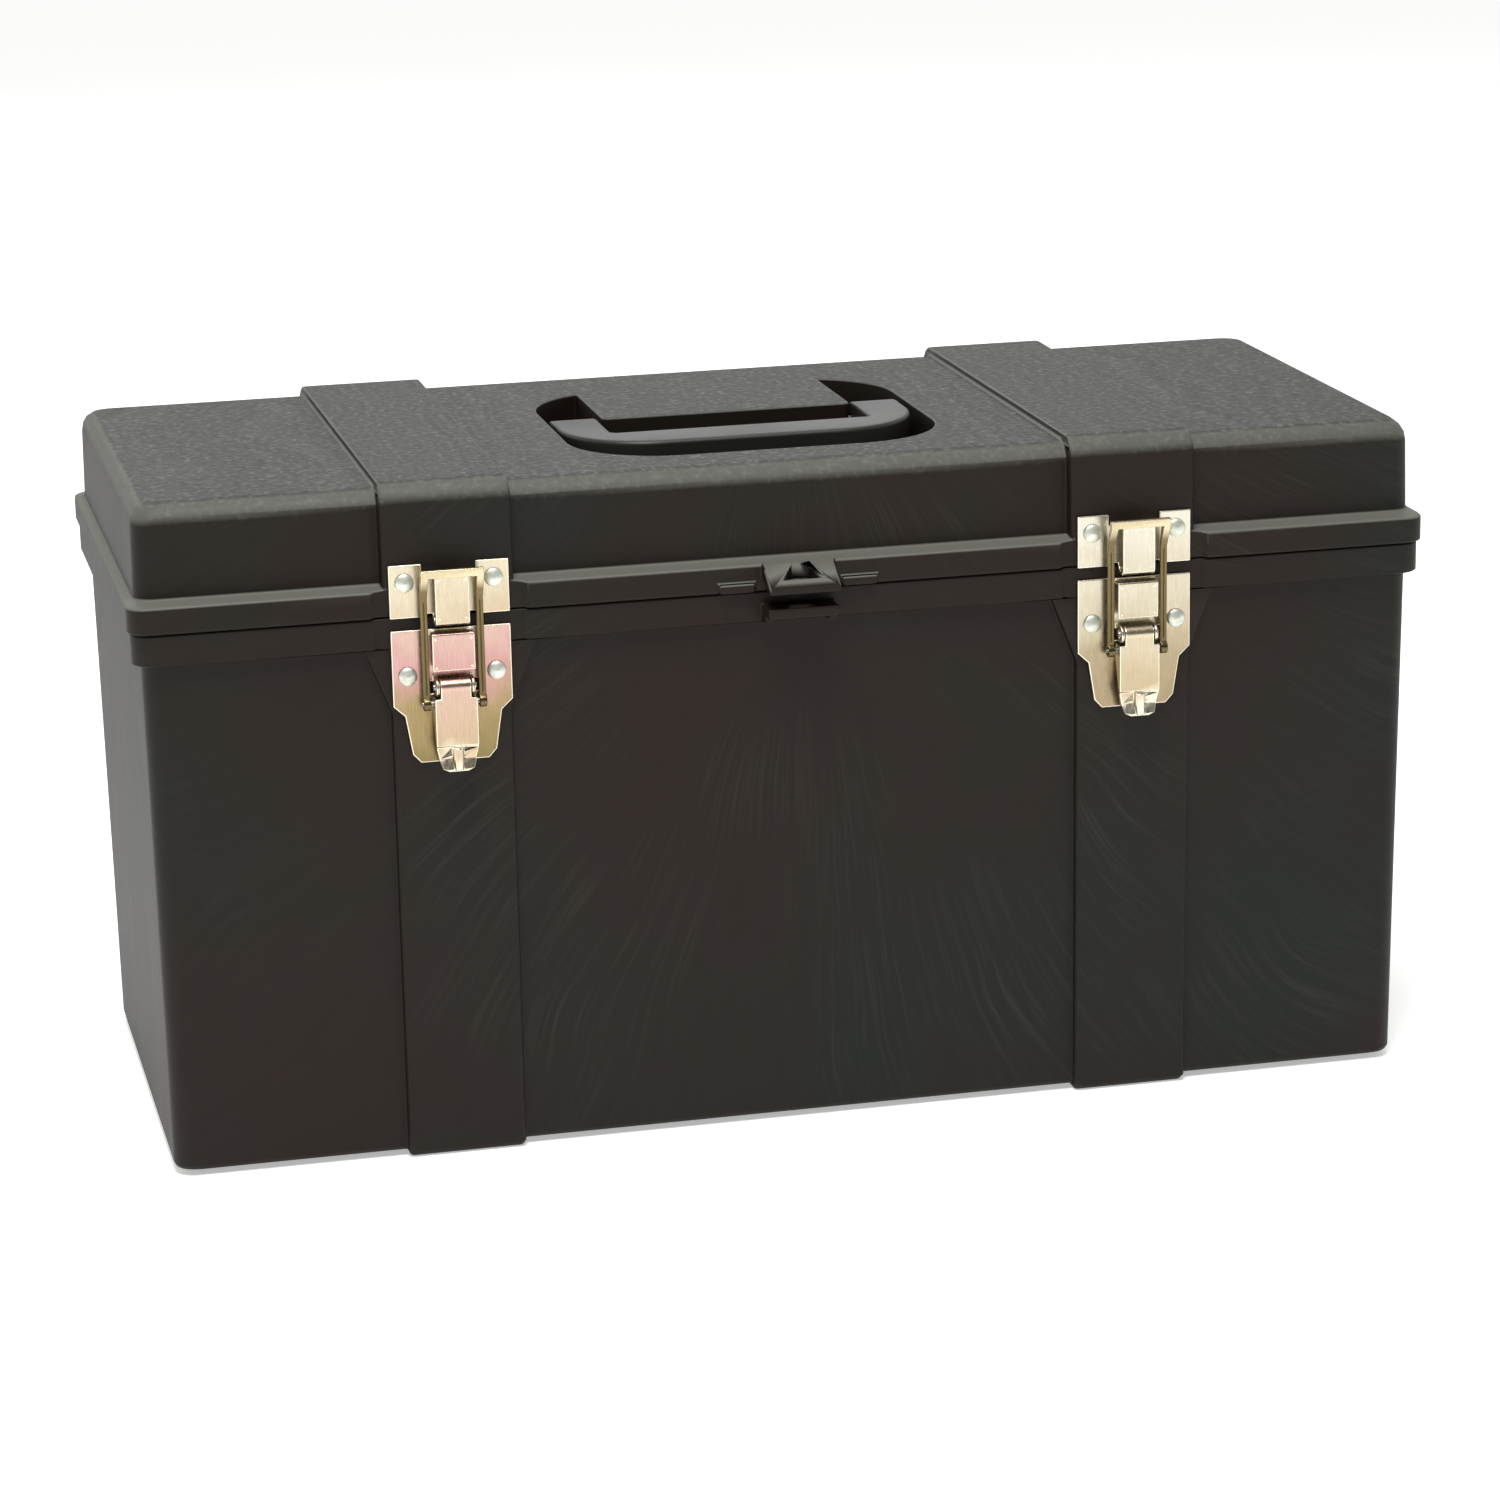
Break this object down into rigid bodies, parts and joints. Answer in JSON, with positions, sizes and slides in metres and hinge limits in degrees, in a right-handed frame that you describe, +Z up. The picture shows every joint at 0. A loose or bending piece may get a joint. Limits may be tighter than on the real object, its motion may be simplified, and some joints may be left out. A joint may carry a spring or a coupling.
{
  "type": "toolbox",
  "caption": "Black structural-foam tool box with a hinged lid, two riveted draw latches, a folding recessed carry handle and a lift-out tray.",
  "frame": {"origin": "on the floor, under the middle of the box's overall outline", "axes": "+X to the right along the box's length seen from the front, -Y towards the latches, +Z up"},
  "size_m": [0.508, 0.2426, 0.2656],
  "materials": {
    "foam_plastic": "moulded structural-foam polypropylene, faint flow swirls, pebbled lid top",
    "handle_plastic": "moulded black plastic",
    "tray_plastic": "moulded black plastic, fine texture",
    "plated_steel": "yellow zinc plated stamped sheet with a faint pink and green sheen",
    "rivet": "satin domed rivet",
    "steel_pin": "plain drawn steel rod"
  },
  "bodies": {
    "body": {"body_shell": "foam_plastic", "hinge_pin_left": "steel_pin", "hinge_pin_right": "steel_pin", "latch_base_left": "plated_steel", "latch_base_right": "plated_steel", "lever_pin_left": "steel_pin", "lever_pin_right": "steel_pin", "base_rivet_left_a": "rivet", "base_rivet_left_b": "rivet", "base_rivet_right_a": "rivet", "base_rivet_right_b": "rivet"},
    "lid": {"lid_shell": "foam_plastic", "handle_pin_left": "steel_pin", "handle_pin_right": "steel_pin", "latch_keeper_left": "plated_steel", "latch_keeper_right": "plated_steel", "keeper_rivet_left_a": "rivet", "keeper_rivet_left_b": "rivet", "keeper_rivet_right_a": "rivet", "keeper_rivet_right_b": "rivet"},
    "handle": {"carry_handle": "handle_plastic"},
    "tray": {"lift_out_tray": "tray_plastic"},
    "lever_left": {"latch_lever_left": "plated_steel", "bail_pin_left": "steel_pin"},
    "lever_right": {"latch_lever_right": "plated_steel", "bail_pin_right": "steel_pin"},
    "bail_left": {"latch_bail_left": "plated_steel"},
    "bail_right": {"latch_bail_right": "plated_steel"}
  },
  "joints": [
    {"name": "lid_hinge", "type": "hinge", "parent": "body", "child": "lid", "pos_m": [0, 0.1158, 0.21515], "axis": [-1, 0, 0], "range_deg": [0, 105]},
    {"name": "handle_fold", "type": "hinge", "parent": "lid", "child": "handle", "pos_m": [0, 0.011, 0.2533], "axis": [-1, 0, 0], "range_deg": [0, 95]},
    {"name": "tray_lift", "type": "slide", "parent": "body", "child": "tray", "axis": [0, 0, 1], "range_m": [0, 0.022]},
    {"name": "lever_left_swing", "type": "hinge", "parent": "body", "child": "lever_left", "pos_m": [-0.134, -0.1133, 0.1886], "axis": [-1, 0, 0], "range_deg": [0, 135]},
    {"name": "lever_right_swing", "type": "hinge", "parent": "body", "child": "lever_right", "pos_m": [0.134, -0.1133, 0.1886], "axis": [-1, 0, 0], "range_deg": [0, 135]},
    {"name": "bail_left_swing", "type": "hinge", "parent": "lever_left", "child": "bail_left", "pos_m": [-0.134, -0.1123, 0.1821], "axis": [-1, 0, 0], "range_deg": [-150, 0]},
    {"name": "bail_right_swing", "type": "hinge", "parent": "lever_right", "child": "bail_right", "pos_m": [0.134, -0.1123, 0.1821], "axis": [-1, 0, 0], "range_deg": [-150, 0]}
  ],
  "couplings": [
    {"joint": "bail_left_swing", "follows": "lever_left_swing", "ratio": -1.11},
    {"joint": "bail_right_swing", "follows": "lever_right_swing", "ratio": -1.11}
  ]
}
